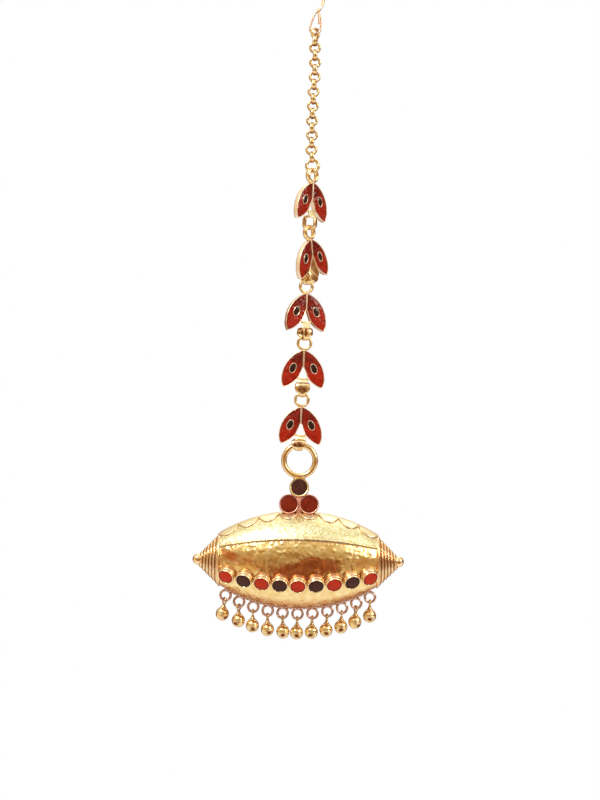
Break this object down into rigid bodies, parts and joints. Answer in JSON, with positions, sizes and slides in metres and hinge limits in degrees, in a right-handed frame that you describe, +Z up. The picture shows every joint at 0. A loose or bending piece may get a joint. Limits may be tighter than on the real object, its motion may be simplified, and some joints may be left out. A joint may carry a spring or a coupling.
{
  "type": "maang tikka (forehead pendant)",
  "caption": "Forehead pendant hanging from a wire hair hook: belcher chain, enamelled leaf links and a hollow spindle pendant with enamel cells and a fringe of ball drops.",
  "frame": {"origin": "inside of the hair hook's bend, where the piece hangs in the hair", "axes": "+Z up along the hanging line, -Y to the front that is seen when worn, +X to the viewer's right"},
  "size_m": [0.0464, 0.0149, 0.1499],
  "materials": {
    "gold_plated_brass": "bright warm gold plating on cast brass, polished with fine casting grain",
    "red_leaf_enamel": "glossy translucent red enamel, uneven, over a bright metal floor",
    "dark_leaf_enamel": "glossy dark brown enamel",
    "red_cell_enamel": "semi-gloss opaque red enamel",
    "maroon_cell_enamel": "semi-gloss opaque maroon enamel",
    "dark_cell_enamel": "semi-gloss dark brown enamel"
  },
  "bodies": {
    "hanger": {"belcher_chain": "gold_plated_brass", "chain_jump_ring": "gold_plated_brass", "hair_hook": "gold_plated_brass", "leaf_enamel_1_left": "red_leaf_enamel", "leaf_enamel_1_right": "red_leaf_enamel", "leaf_enamel_2_left": "red_leaf_enamel", "leaf_enamel_2_right": "red_leaf_enamel", "leaf_enamel_3_left": "red_leaf_enamel", "leaf_enamel_3_right": "red_leaf_enamel", "leaf_enamel_4_left": "red_leaf_enamel", "leaf_enamel_4_right": "red_leaf_enamel", "leaf_enamel_5_left": "red_leaf_enamel", "leaf_enamel_5_right": "red_leaf_enamel", "leaf_eye_1_left": "dark_leaf_enamel", "leaf_eye_1_right": "dark_leaf_enamel", "leaf_eye_2_left": "dark_leaf_enamel", "leaf_eye_2_right": "dark_leaf_enamel", "leaf_eye_3_left": "dark_leaf_enamel", "leaf_eye_3_right": "dark_leaf_enamel", "leaf_eye_4_left": "dark_leaf_enamel", "leaf_eye_4_right": "dark_leaf_enamel", "leaf_eye_5_left": "dark_leaf_enamel", "leaf_eye_5_right": "dark_leaf_enamel", "leaf_link_1": "gold_plated_brass", "leaf_link_2": "gold_plated_brass", "leaf_link_3": "gold_plated_brass", "leaf_link_4": "gold_plated_brass", "leaf_link_5": "gold_plated_brass"},
    "pendant": {"ball_drop_1": "gold_plated_brass", "ball_drop_10": "gold_plated_brass", "ball_drop_11": "gold_plated_brass", "ball_drop_2": "gold_plated_brass", "ball_drop_3": "gold_plated_brass", "ball_drop_4": "gold_plated_brass", "ball_drop_5": "gold_plated_brass", "ball_drop_6": "gold_plated_brass", "ball_drop_7": "gold_plated_brass", "ball_drop_8": "gold_plated_brass", "ball_drop_9": "gold_plated_brass", "body_enamel_1": "red_cell_enamel", "body_enamel_2": "dark_cell_enamel", "body_enamel_3": "red_cell_enamel", "body_enamel_4": "dark_cell_enamel", "body_enamel_5": "red_cell_enamel", "body_enamel_6": "dark_cell_enamel", "body_enamel_7": "red_cell_enamel", "body_enamel_8": "dark_cell_enamel", "body_enamel_9": "red_cell_enamel", "pendant": "gold_plated_brass", "top_enamel_dark": "dark_cell_enamel", "top_enamel_left": "maroon_cell_enamel", "top_enamel_right": "maroon_cell_enamel"}
  },
  "joints": [
    {"name": "pendant_swing", "type": "hinge", "parent": "hanger", "child": "pendant", "pos_m": [-0.0021, 0, -0.10646], "axis": [1, 0, 0], "range_deg": [-75, 75]}
  ]
}
